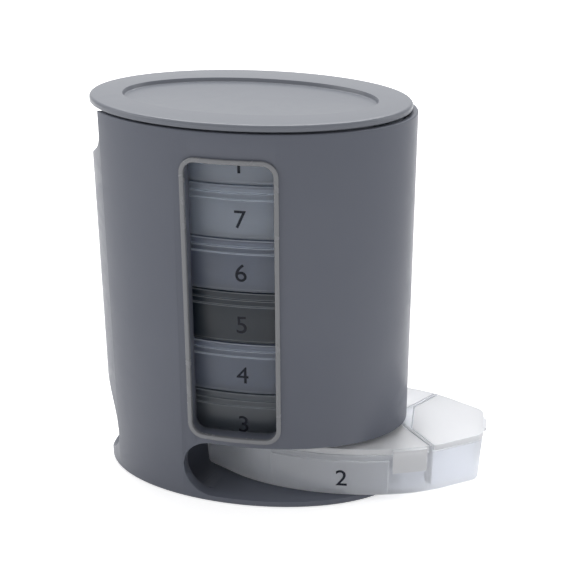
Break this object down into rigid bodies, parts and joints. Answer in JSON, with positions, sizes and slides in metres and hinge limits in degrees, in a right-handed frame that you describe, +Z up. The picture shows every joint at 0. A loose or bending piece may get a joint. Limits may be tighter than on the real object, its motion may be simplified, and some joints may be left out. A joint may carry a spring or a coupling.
{
  "type": "weekly pill case",
  "caption": "Oval tower pill case: a stack of frosted day trays with hinged lids in a grey barrel with a front window, a slide-out bottom tray and a lift-off cover.",
  "frame": {"origin": "centre of the barrel's flat underside, on the surface that it stands on", "axes": "+X along the oval's long way, the way the bottom tray slides out; -Y towards the front window; +Z up"},
  "size_m": [0.1248, 0.0611, 0.1246],
  "materials": {
    "barrel_plastic": "satin blue-grey moulded plastic",
    "cover_plastic": "satin blue-grey moulded plastic",
    "frosted_plastic": "clear plastic with a frosted surface",
    "smoked_plastic": "smoke-tinted plastic with a frosted surface"
  },
  "bodies": {
    "barrel": {"barrel": "barrel_plastic"},
    "tuesday_tray": {"tray_tuesday": "frosted_plastic", "front_lid_tuesday": "frosted_plastic", "back_lid_tuesday": "frosted_plastic", "left_lid_tuesday": "frosted_plastic"},
    "tuesday_right_lid": {"right_lid_tuesday": "frosted_plastic"},
    "wednesday_tray": {"tray_wednesday": "smoked_plastic", "front_lid_wednesday": "smoked_plastic", "back_lid_wednesday": "smoked_plastic", "left_lid_wednesday": "smoked_plastic", "right_lid_wednesday": "smoked_plastic"},
    "thursday_tray": {"tray_thursday": "frosted_plastic", "front_lid_thursday": "frosted_plastic", "back_lid_thursday": "frosted_plastic", "left_lid_thursday": "frosted_plastic", "right_lid_thursday": "frosted_plastic"},
    "friday_tray": {"tray_friday": "smoked_plastic", "front_lid_friday": "smoked_plastic", "back_lid_friday": "smoked_plastic", "left_lid_friday": "smoked_plastic", "right_lid_friday": "smoked_plastic"},
    "saturday_tray": {"tray_saturday": "frosted_plastic", "front_lid_saturday": "frosted_plastic", "back_lid_saturday": "frosted_plastic", "left_lid_saturday": "frosted_plastic", "right_lid_saturday": "frosted_plastic"},
    "sunday_tray": {"tray_sunday": "frosted_plastic", "front_lid_sunday": "frosted_plastic", "back_lid_sunday": "frosted_plastic", "left_lid_sunday": "frosted_plastic", "right_lid_sunday": "frosted_plastic"},
    "monday_tray": {"tray_monday": "frosted_plastic", "front_lid_monday": "frosted_plastic", "back_lid_monday": "frosted_plastic", "left_lid_monday": "frosted_plastic", "right_lid_monday": "frosted_plastic"},
    "cover": {"top_cover": "cover_plastic"}
  },
  "joints": [
    {"name": "tuesday_slide", "type": "slide", "parent": "barrel", "child": "tuesday_tray", "axis": [0.9971, 0.0767, 0], "range_m": [-0.0288, 0.066]},
    {"name": "tuesday_right_lid_hinge", "type": "hinge", "parent": "tuesday_tray", "child": "tuesday_right_lid", "pos_m": [0.05115, 0.00394, 0.0192], "axis": [0.0767, -0.9971, 0], "range_deg": [0, 90]},
    {"name": "wednesday_lift", "type": "slide", "parent": "barrel", "child": "wednesday_tray", "axis": [0, 0, 1], "range_m": [0, 0.018]},
    {"name": "thursday_lift", "type": "slide", "parent": "wednesday_tray", "child": "thursday_tray", "axis": [0, 0, 1], "range_m": [0, 0.018]},
    {"name": "friday_lift", "type": "slide", "parent": "thursday_tray", "child": "friday_tray", "axis": [0, 0, 1], "range_m": [0, 0.018]},
    {"name": "saturday_lift", "type": "slide", "parent": "friday_tray", "child": "saturday_tray", "axis": [0, 0, 1], "range_m": [0, 0.018]},
    {"name": "sunday_lift", "type": "slide", "parent": "saturday_tray", "child": "sunday_tray", "axis": [0, 0, 1], "range_m": [0, 0.018]},
    {"name": "monday_lift", "type": "slide", "parent": "sunday_tray", "child": "monday_tray", "axis": [0, 0, 1], "range_m": [0, 0.018]},
    {"name": "cover_lift", "type": "slide", "parent": "monday_tray", "child": "cover", "axis": [0, 0, 1], "range_m": [0, 0.03]}
  ]
}
